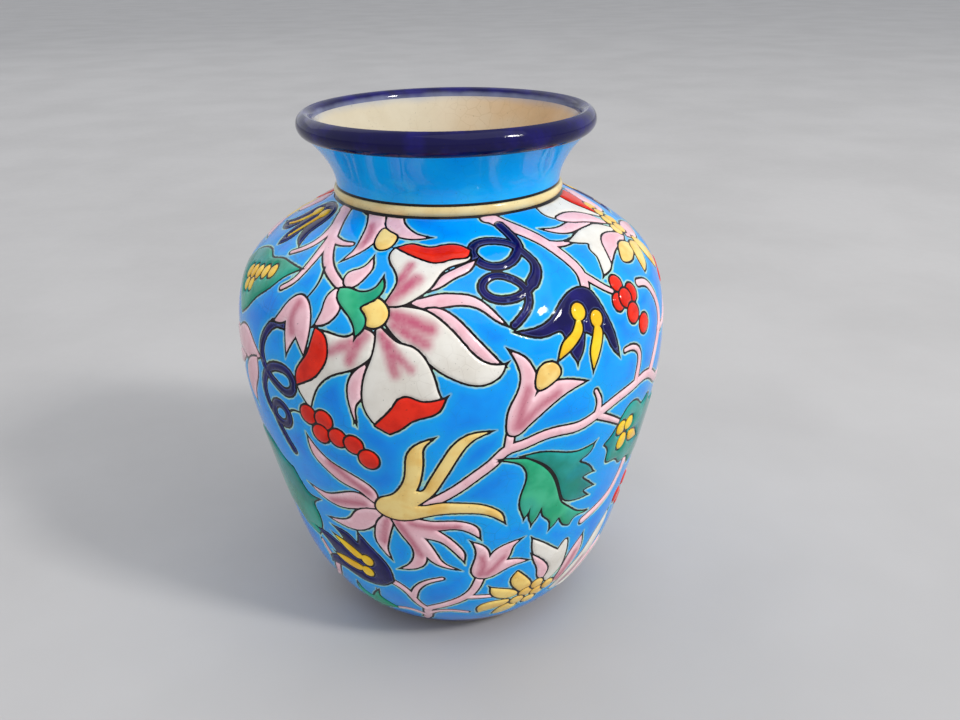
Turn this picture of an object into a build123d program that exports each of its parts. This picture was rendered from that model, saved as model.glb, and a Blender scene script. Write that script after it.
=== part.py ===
"""A thrown pottery vase with a printed and enamelled floral decoration.

The frame has +Z up along the axis of the vase, and its origin at the centre of the foot,
on the surface that the vase stands on. The vase is a body of revolution: a fired clay body,
a glaze inside, and a coat of coloured enamels outside. The belly's coat is shared out between
flowers, leaves, berries and tendrils and the turquoise ground that surrounds them.
All dimensions are in millimetres, and points of a profile are (radius, height).
"""

import os
from math import atan2, cos, degrees, hypot, pi, radians, sin

from build123d import *

# Thicknesses of the two coats.
ENAMEL = 0.8
GLAZE = 0.6

# The belly, over its enamel, from the foot to the shoulder's end under the neck.
BELLY = [
    (41.2, 1.0),
    (52.0, 11.8),
    (62.6, 28.7),
    (69.9, 52.4),
    (75.6, 77.7),
    (80.4, 103.0),
    (81.0, 124.0),
    (75.2, 145.3),
    (58.6, 159.6),
    (42.2, 168.4),
]
FOOT_BAND_TOP = 9.5

# The cream band round the root of the neck, between two black lines.
BAND_BOTTOM = 169.3
BAND_TOP = 172.4
BAND_RADIUS = 41.5
BAND_BULGE = 0.6

# The flared neck, over its enamel, up to the rolled rim.
NECK = [(41.0, 173.3), (42.4, 179.0), (46.4, 185.6), (50.4, 190.3)]

# The rolled rim, over its enamel: its widest point, its crest and its inner shoulder.
RIM_SIDE = (53.7, 194.4)
RIM_CREST = (50.8, 198.6)
RIM_SHOULDER = (48.7, 197.7)

# The hollow inside the bare clay, from the mouth down to the middle of the floor.
HOLLOW = [
    (48.1, 195.1),
    (43.2, 187.2),
    (38.4, 179.0),
    (36.8, 171.5),
    (41.0, 164.0),
    (54.5, 156.3),
    (70.4, 143.0),
    (76.0, 124.0),
    (75.4, 103.0),
    (70.6, 77.7),
    (64.8, 52.4),
    (56.6, 29.5),
    (44.5, 15.2),
    (26.0, 9.4),
    (0.0, 8.6),
]

# The foot ring, and the recess inside it.
FOOT_OUTER = 39.8
FOOT_EDGE = 0.6
FOOT_INNER = 34.0
RECESS_HEIGHT = 3.0
RECESS_DRAFT = 1.5

# How far a colour field's cutter reaches on each side of the belly's surface.
CUTTER_REACH = 8.0

# The decoration is laid out twice round the vase.
REPEATS = (0, 180)

# Colour fields of the decoration, clear of each other. A place is (azimuth in degrees, way up the
# belly's profile in mm from the foot): azimuth 0 faces -Y and grows towards +X. A petal is a
# pointed oval given by its two tips and its width. A round is an oval given by its centre, width
# and height. A loop is the same, with a hole that leaves a cord of LOOP_CORD all round.
LOOP_CORD = 3.0

YELLOW_PETALS = [
    ((-12, 95), (-8.5, 113), 4.5),
    ((-8, 94), (5, 117), 4.5),
    ((-9, 87), (11, 80), 4.5),
    ((33, 149), (26, 139), 4.0),
]
YELLOW_ROUNDS = [
    ((-19, 158), 7.0, 7.0),
    ((-16, 87), 9.0, 8.0),
    ((22, 136.5), 6.0, 6.0),
    ((20, 34), 9.0, 8.0),
]

RED_PETALS = [
    ((-34.5, 147), (-38.5, 132), 3.5),
]
RED_ROUNDS = [
    ((-35, 118), 7.0, 6.6),
    ((-27, 112), 7.0, 6.6),
    ((49.5, 151), 7.5, 6.5),
    ((54.5, 141), 7.0, 7.0),
]

COBALT_PETALS = [
    ((36, 158.5), (18, 150), 7.0),
    ((38.5, 154.5), (42, 136), 6.0),
    ((-28, 44), (-29, 66), 9.0),
]
COBALT_LOOPS = [
    ((14, 181), 14.0, 10.0),
    ((-46, 126), 14.0, 10.0),
]

GREEN_PETALS = [
    ((-31, 164), (-24.5, 156), 5.0),
    ((14, 105.5), (26, 72), 9.0),
    ((20, 106), (38, 82), 7.0),
    ((-52, 166), (-78, 152), 11.0),
    ((46, 107), (72, 86), 13.0),
]

WHITE_PETALS = [
    ((-13.5, 164.5), (-14.5, 180), 11.0),
    ((-9.5, 156.5), (9.5, 140), 10.0),
    ((-17, 151), (-14, 124), 14.0),
    ((-23, 150.5), (-35, 127), 8.0),
    ((68, 177), (48, 177), 7.0),
    ((31, 41), (24, 62), 8.0),
]

PINK_PETALS = [
    ((-7, 163), (12, 156), 3.0),
    ((-36, 191), (-34, 177), 6.0),
    ((-26, 189.5), (-11, 187), 4.5),
    ((12.5, 118), (14, 142), 6.5),
    ((18, 121.5), (30.5, 130.5), 6.0),
    ((-41, 157), (-42.5, 141), 6.5),
    ((15, 112.5), (38, 115.5), 3.2),
    ((-23, 90), (-38, 106), 5.5),
    ((-24, 84), (-42, 83.5), 6.0),
    ((-16, 77), (-14, 57), 6.0),
    ((5.5, 51), (5, 67), 6.0),
]


def shifted(profile, distance):
    """The profile's points, each moved square to the line through its two neighbours.

    On a profile listed upwards a positive distance moves outwards; downwards, inwards.
    """
    moved = []
    for index, (radius, height) in enumerate(profile):
        before = profile[max(index - 1, 0)]
        after = profile[min(index + 1, len(profile) - 1)]
        run = after[0] - before[0]
        rise = after[1] - before[1]
        scale = distance / hypot(run, rise)
        moved.append((radius + rise * scale, height - run * scale))
    return moved


# The faces between the clay and its coats, and the glaze's own surface.
belly_clay = shifted(BELLY, -ENAMEL)
neck_clay = shifted(NECK, -ENAMEL)
glaze_face = shifted(HOLLOW[:-1], GLAZE) + [(0.0, HOLLOW[-1][1] + GLAZE)]
seat_radius = neck_clay[0][0]
rim_side_clay = (RIM_SIDE[0] - ENAMEL, RIM_SIDE[1])
rim_crest_clay = (RIM_CREST[0], RIM_CREST[1] - ENAMEL)
rim_shoulder_clay = (RIM_SHOULDER[0] + ENAMEL / 2, RIM_SHOULDER[1] - ENAMEL / 2)

# Both ends of a hollow's profile: along the flare at the mouth, and level at the axis.
HOLLOW_ENDS = [(HOLLOW[1][0] - HOLLOW[0][0], HOLLOW[1][1] - HOLLOW[0][1]), (-1, 0)]


# The clay body: foot ring, belly, neck and rolled rim in one thrown and fired piece.
with BuildPart() as clay_body:
    with BuildSketch(Plane.XZ):
        with BuildLine():
            Spline(*belly_clay)
            Line(belly_clay[-1], (seat_radius, BAND_BOTTOM))
            Line((seat_radius, BAND_BOTTOM), neck_clay[0])
            Spline(*neck_clay)
            ThreePointArc(neck_clay[-1], rim_side_clay, rim_crest_clay)
            ThreePointArc(rim_crest_clay, rim_shoulder_clay, HOLLOW[0])
            Spline(*HOLLOW, tangents=HOLLOW_ENDS)
            Polyline(
                HOLLOW[-1],
                (0, RECESS_HEIGHT),
                (FOOT_INNER - RECESS_DRAFT, RECESS_HEIGHT),
                (FOOT_INNER, 0),
                (FOOT_OUTER - FOOT_EDGE, 0),
                (FOOT_OUTER, FOOT_EDGE),
                belly_clay[0],
            )
        make_face()
    revolve(axis=Axis.Z)

# The ivory glaze that lines the whole inside, up to the inner edge of the rim.
with BuildPart() as interior_glaze:
    with BuildSketch(Plane.XZ):
        with BuildLine():
            Spline(*HOLLOW, tangents=HOLLOW_ENDS)
            Line(HOLLOW[-1], glaze_face[-1])
            Spline(*glaze_face, tangents=HOLLOW_ENDS)
            Line(glaze_face[0], HOLLOW[0])
        make_face()
    revolve(axis=Axis.Z)

# The cobalt enamel rolled over the rim.
with BuildPart() as rim_enamel:
    with BuildSketch(Plane.XZ):
        with BuildLine():
            Line(neck_clay[-1], NECK[-1])
            ThreePointArc(NECK[-1], RIM_SIDE, RIM_CREST)
            ThreePointArc(RIM_CREST, RIM_SHOULDER, glaze_face[0])
            Line(glaze_face[0], HOLLOW[0])
            ThreePointArc(HOLLOW[0], rim_shoulder_clay, rim_crest_clay)
            ThreePointArc(rim_crest_clay, rim_side_clay, neck_clay[-1])
        make_face()
    revolve(axis=Axis.Z)

# The turquoise enamel on the flare of the neck.
with BuildPart() as neck_enamel:
    with BuildSketch(Plane.XZ):
        with BuildLine():
            Spline(*neck_clay)
            Line(neck_clay[-1], NECK[-1])
            Spline(*NECK)
            Line(NECK[0], neck_clay[0])
        make_face()
    revolve(axis=Axis.Z)

# The cream band, slightly proud of the lines beside it.
with BuildPart() as neck_band:
    with BuildSketch(Plane.XZ):
        with BuildLine():
            Line((seat_radius, BAND_BOTTOM), (BAND_RADIUS, BAND_BOTTOM))
            ThreePointArc(
                (BAND_RADIUS, BAND_BOTTOM),
                (BAND_RADIUS + BAND_BULGE, (BAND_BOTTOM + BAND_TOP) / 2),
                (BAND_RADIUS, BAND_TOP),
            )
            Line((BAND_RADIUS, BAND_TOP), (seat_radius, BAND_TOP))
            Line((seat_radius, BAND_TOP), (seat_radius, BAND_BOTTOM))
        make_face()
    revolve(axis=Axis.Z)

# The black lines below and above the band.
with BuildPart() as lower_line:
    with BuildSketch(Plane.XZ):
        with BuildLine():
            Polyline(
                belly_clay[-1],
                BELLY[-1],
                (BAND_RADIUS, BAND_BOTTOM),
                (seat_radius, BAND_BOTTOM),
                close=True,
            )
        make_face()
    revolve(axis=Axis.Z)

with BuildPart() as upper_line:
    with BuildSketch(Plane.XZ):
        with BuildLine():
            Polyline(
                (seat_radius, BAND_TOP),
                (NECK[0][0], BAND_TOP),
                NECK[0],
                neck_clay[0],
                close=True,
            )
        make_face()
    revolve(axis=Axis.Z)

# The whole coat of the belly, before it is shared out between the colours.
with BuildPart() as belly_coat:
    with BuildSketch(Plane.XZ):
        with BuildLine():
            belly_curve = Spline(*BELLY)
            Line(BELLY[-1], belly_clay[-1])
            Spline(*belly_clay)
            Line(belly_clay[0], BELLY[0])
        make_face()
    revolve(axis=Axis.Z)

# The cobalt band round the foot is the lowest part of the coat.
with BuildPart() as foot_band:
    add(belly_coat.part)
    split(bisect_by=Plane.XY.offset(FOOT_BAND_TOP), keep=Keep.BOTTOM)


def surface_plane(azimuth, along, tilt=0.0):
    """A plane that touches the belly, its x level and its y uphill, turned by tilt degrees."""
    share = along / belly_curve.length
    point = belly_curve @ share
    slope = belly_curve % share
    sine = sin(radians(azimuth))
    cosine = cos(radians(azimuth))
    origin = (point.X * sine, -point.X * cosine, point.Y)
    outward = (slope.Y * sine, -slope.Y * cosine, -slope.X)
    return Plane(origin=origin, x_dir=(cosine, sine, 0), z_dir=outward).rotated((0, 0, tilt))


def petal_cutter(tip, other_tip, width, turn):
    """A pointed oval through the coat, between two places on the belly."""
    azimuth = (tip[0] + other_tip[0]) / 2
    along = (tip[1] + other_tip[1]) / 2
    radius = (belly_curve @ (along / belly_curve.length)).X
    across = (other_tip[0] - tip[0]) * radius * pi / 180
    uphill = other_tip[1] - tip[1]
    half = hypot(across, uphill) / 2
    tilt = degrees(atan2(-across, uphill))
    with BuildPart() as cutter:
        with BuildSketch(surface_plane(azimuth + turn, along, tilt)):
            with BuildLine():
                ThreePointArc((0, -half), (width / 2, 0), (0, half))
                ThreePointArc((0, half), (-width / 2, 0), (0, -half))
            make_face()
        extrude(amount=CUTTER_REACH, both=True)
    return cutter.part


def round_cutter(centre, width, height, turn):
    """An oval through the coat."""
    with BuildPart() as cutter:
        with BuildSketch(surface_plane(centre[0] + turn, centre[1])):
            Ellipse(width / 2, height / 2)
        extrude(amount=CUTTER_REACH, both=True)
    return cutter.part


def loop_cutter(centre, width, height, turn):
    """An oval ring through the coat."""
    with BuildPart() as cutter:
        with BuildSketch(surface_plane(centre[0] + turn, centre[1])):
            Ellipse(width / 2, height / 2)
            Ellipse(width / 2 - LOOP_CORD, height / 2 - LOOP_CORD, mode=Mode.SUBTRACT)
        extrude(amount=CUTTER_REACH, both=True)
    return cutter.part


def colour_cutters(petals, rounds=(), loops=()):
    """The cutters of one colour's fields, in every repeat of the decoration."""
    cutters = []
    for turn in REPEATS:
        cutters += [petal_cutter(*petal, turn) for petal in petals]
        cutters += [round_cutter(*disc, turn) for disc in rounds]
        cutters += [loop_cutter(*loop, turn) for loop in loops]
    return cutters


# The cutters of the colour fields, colour by colour.
COLOURS = {
    "yellow_enamel": colour_cutters(YELLOW_PETALS, YELLOW_ROUNDS),
    "red_enamel": colour_cutters(RED_PETALS, RED_ROUNDS),
    "cobalt_enamel": colour_cutters(COBALT_PETALS, loops=COBALT_LOOPS),
    "green_enamel": colour_cutters(GREEN_PETALS),
    "white_enamel": colour_cutters(WHITE_PETALS),
    "pink_enamel": colour_cutters(PINK_PETALS),
}

# Each colour's share of the coat lies within its cutters.
colour_parts = {}
for colour, cutters in COLOURS.items():
    with BuildPart() as fields:
        add(cutters)
        add(belly_coat.part, mode=Mode.INTERSECT)
    colour_parts[colour] = fields.part

# The turquoise ground is what the foot band and the colours leave of the coat.
with BuildPart() as ground_enamel:
    add(belly_coat.part)
    split(bisect_by=Plane.XY.offset(FOOT_BAND_TOP), keep=Keep.TOP)
    for cutters in COLOURS.values():
        add(cutters, mode=Mode.SUBTRACT)

pieces = {
    "clay_body": clay_body.part,
    "interior_glaze": interior_glaze.part,
    "rim_enamel": rim_enamel.part,
    "neck_enamel": neck_enamel.part,
    "upper_line": upper_line.part,
    "neck_band": neck_band.part,
    "lower_line": lower_line.part,
    "foot_band": foot_band.part,
    "ground_enamel": ground_enamel.part,
    **colour_parts,
}

os.makedirs("parts", exist_ok=True)
for name, piece in pieces.items():
    piece.label = name
    export_step(piece, f"parts/{name}.step")
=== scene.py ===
"""The vase as it looks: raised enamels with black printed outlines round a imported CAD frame.

Lengths are in millimetres unless a name says otherwise, and turn into metres in the meshes. A
place on the belly is (azimuth in degrees, way up the belly's profile in mm): azimuth 0 faces -Y
and grows towards +X. The decoration runs twice round the belly, so it is drawn for half of it.
"""

from math import cos, radians, sin

import bpy
import numpy as np
from mathutils import Matrix, Vector
from mathutils.geometry import delaunay_2d_cdt


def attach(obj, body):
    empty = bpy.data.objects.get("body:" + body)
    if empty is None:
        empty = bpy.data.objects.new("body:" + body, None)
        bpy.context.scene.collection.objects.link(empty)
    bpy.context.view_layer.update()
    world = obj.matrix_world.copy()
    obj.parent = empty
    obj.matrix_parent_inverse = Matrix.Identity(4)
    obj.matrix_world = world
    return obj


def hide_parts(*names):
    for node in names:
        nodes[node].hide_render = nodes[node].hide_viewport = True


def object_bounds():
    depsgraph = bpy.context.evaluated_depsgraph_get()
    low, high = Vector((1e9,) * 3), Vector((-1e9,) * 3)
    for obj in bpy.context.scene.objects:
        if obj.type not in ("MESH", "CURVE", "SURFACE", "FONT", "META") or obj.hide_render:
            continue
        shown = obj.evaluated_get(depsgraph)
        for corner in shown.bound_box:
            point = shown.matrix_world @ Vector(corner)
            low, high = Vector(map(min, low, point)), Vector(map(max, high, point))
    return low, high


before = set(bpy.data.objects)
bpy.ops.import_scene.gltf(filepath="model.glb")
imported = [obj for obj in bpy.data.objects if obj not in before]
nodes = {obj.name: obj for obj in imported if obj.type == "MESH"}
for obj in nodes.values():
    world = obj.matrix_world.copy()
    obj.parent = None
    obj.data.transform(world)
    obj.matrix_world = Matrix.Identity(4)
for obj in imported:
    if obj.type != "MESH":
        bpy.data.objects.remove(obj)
cad_low, cad_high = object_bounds()

METRE = 1000.0

# The belly's outer profile, (radius, height) upwards, as the enamel on it has it.
BELLY = [
    (41.2, 1.0), (52.0, 11.8), (62.6, 28.7), (69.9, 52.4), (75.6, 77.7),
    (80.4, 103.0), (81.0, 124.0), (75.2, 145.3), (58.6, 159.6), (42.2, 168.4),
]
FOOT_BAND_TOP = 9.5

# The decoration's grid, and how far round a shape its distances are worked out.
ROUND_STEP = 0.2
ALONG_STEP = 0.3
HALF_TURN = 180
REACH = 7.0
FAR = 9.0

# The printed outline's width and waver, and the flick that it makes past a pointed tip.
OUTLINE = 0.8
WAVER = 0.13
FLICK_LENGTH = 2.6
FLICK_HALVES = np.array([0.75, 0.4, 0.05])
SHARP = 0.35

# The depths of the coat's faces from the belly's profile.
COAT_BACK = -0.75
PRINT_FACE = -0.12
GROUND_EDGE = -0.05
GROUND_FACE = 0.12
ENAMEL_EDGE = 0.0
ENAMEL_FACE = 0.42
EDGE_ROUND = 0.95

# Distances from an edge at which the coat's mesh has rows of points, and its spacing elsewhere.
INNER_ROWS = (0.35, 0.95)
FINE_SPACING = 1.3
WIDE_SPACING = 2.4
CONTOUR_SLACK = 0.035

SMALLEST_FIELD = 0.5
BORDER_STEPS = 90
RIM_STEPS = 128
# The rise from row to row of a triangular pattern, and a degree's rough length round the belly.
ROW_RISE = 0.87
DEGREE_LENGTH = 1.3

# The steps of the profile's and the drawing's curves, and how far the rose flushes are blurred.
PROFILE_STEP = 0.05
CURVE_STEP = 0.7
SOFT_REACH = 0.6

# How much an enamel swells towards the middle of its field, and over what distance.
SWELL = 0.12
SWELL_REACH = 4.0


# ---- Curves ----


def natural_spline(points, spacing):
    """Points about spacing apart on the smooth curve through the points."""
    points = np.array(points, float)
    knots = np.concatenate([[0], np.cumsum(np.linalg.norm(np.diff(points, axis=0), axis=1))])
    count = len(points)
    gaps = np.diff(knots)
    system = np.eye(count)
    known = np.zeros_like(points)
    for i in range(1, count - 1):
        system[i, i - 1 : i + 2] = gaps[i - 1], 2 * (gaps[i - 1] + gaps[i]), gaps[i]
        after = (points[i + 1] - points[i]) / gaps[i]
        before = (points[i] - points[i - 1]) / gaps[i - 1]
        known[i] = 6 * (after - before)
    bend = np.linalg.solve(system, known)
    place = np.linspace(0, knots[-1], max(int(knots[-1] / spacing), 2 * count) + 1)
    i = np.clip(np.searchsorted(knots, place, side="right") - 1, 0, count - 2)
    gap = gaps[i][:, None]
    left = (knots[i + 1] - place)[:, None]
    right = (place - knots[i])[:, None]
    curve = (bend[i] * left**3 + bend[i + 1] * right**3) / (6 * gap)
    curve += (points[i] / gap - bend[i] * gap / 6) * left
    curve += (points[i + 1] / gap - bend[i + 1] * gap / 6) * right
    return curve


profile = natural_spline(BELLY, PROFILE_STEP)
profile_along = np.concatenate(
    [[0], np.cumsum(np.linalg.norm(np.diff(profile, axis=0), axis=1))]
)
profile_slope = np.gradient(profile, profile_along, axis=0)
PRINT_TOP = profile_along[-1]
PRINT_LOW = float(np.interp(FOOT_BAND_TOP, profile[:, 1], profile_along))


def radius_at(along):
    """The belly's radius."""
    return np.interp(along, profile_along, profile[:, 0])


def axes_at(azimuth, along):
    """Unit vectors round, up along and out of the belly."""
    turn = np.radians(azimuth)
    run = np.interp(along, profile_along, profile_slope[:, 0])
    rise = np.interp(along, profile_along, profile_slope[:, 1])
    level = np.zeros_like(turn)
    round_it = np.stack([np.cos(turn), np.sin(turn), level], -1)
    up = np.stack([run * np.sin(turn), -run * np.cos(turn), rise], -1)
    out = np.stack([rise * np.sin(turn), -rise * np.cos(turn), -run], -1)
    return round_it, up, out


def belly_points(azimuth, along, lift=0.0):
    """Points on the belly, lifted square to its profile."""
    turn = np.radians(azimuth)
    radius = radius_at(along)
    height = np.interp(along, profile_along, profile[:, 1])
    level = np.stack([radius * np.sin(turn), -radius * np.cos(turn), height], -1)
    return level + axes_at(azimuth, along)[2] * np.asarray(lift)[..., None]


def drawn(points, closed):
    """The smooth outline through places on the belly; a place with a third entry is a corner."""
    middle = np.mean([p[1] for p in points])
    scale = np.array([radians(1) * radius_at(middle), 1.0])
    places = [np.array(p[:2]) * scale for p in points]
    corners = [i for i, p in enumerate(points) if len(p) > 2]
    if not closed:
        return natural_spline(places, CURVE_STEP) / scale
    if not corners:
        wrapped = places[-3:] + places + places[:4]
        curve = natural_spline(wrapped, CURVE_STEP)
        start = np.argmin(np.linalg.norm(curve[: len(curve) // 2] - places[0], axis=1))
        back = curve[len(curve) // 2 :]
        end = len(curve) // 2 + np.argmin(np.linalg.norm(back - places[0], axis=1))
        return curve[start:end] / scale
    places = places[corners[0] :] + places[: corners[0]]
    corners = [i - corners[0] for i in corners] + [len(places)]
    places.append(places[0])
    runs = []
    for first, last in zip(corners, corners[1:]):
        runs.append(natural_spline(places[first : last + 1], CURVE_STEP)[:-1])
    return np.concatenate(runs) / scale


# ---- The decoration's shapes, each laid over those before it ----


def oval(azimuth, along, width, height):
    """Eight places round an oval."""
    across = width / 2 / (radians(1) * radius_at(along))
    turns = [radians(45 * i) for i in range(8)]
    return [(azimuth + across * cos(t), along + height / 2 * sin(t)) for t in turns]


def shapes(drawing):
    """The shapes that a drawing's lines describe, each with its colour, tone and parts."""
    found = []
    for line in drawing.replace("\n ", " ").strip().splitlines():
        if line.startswith("#"):
            continue
        more = line.startswith("+")
        name, *words = ["", *line[1:].split()] if more else line.split()
        colour, _, tone = name.partition("@")
        size = "" if "," in words[0] else words.pop(0)
        places = [
            (*map(float, word.rstrip("*").split(",")), "corner")[: 2 + word.endswith("*")]
            for word in words
        ]
        kind, widths, reach, outlines = "area", (0, 0), None, [places]
        if "x" in size:
            outlines = [oval(*place, *map(float, size.split("x"))) for place in places]
        elif "-" in size:
            kind, widths = "cord", [float(width) for width in size.split("-")]
        elif size:
            kind, reach = "flush", float(size)
        for points in outlines:
            part = {"kind": kind, "points": points, "widths": widths, "reach": reach}
            if more:
                found[-1]["parts"].append(part)
            else:
                found.append({"colour": colour, "tone": float(tone or 0), "parts": [part]})
    return found


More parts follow.
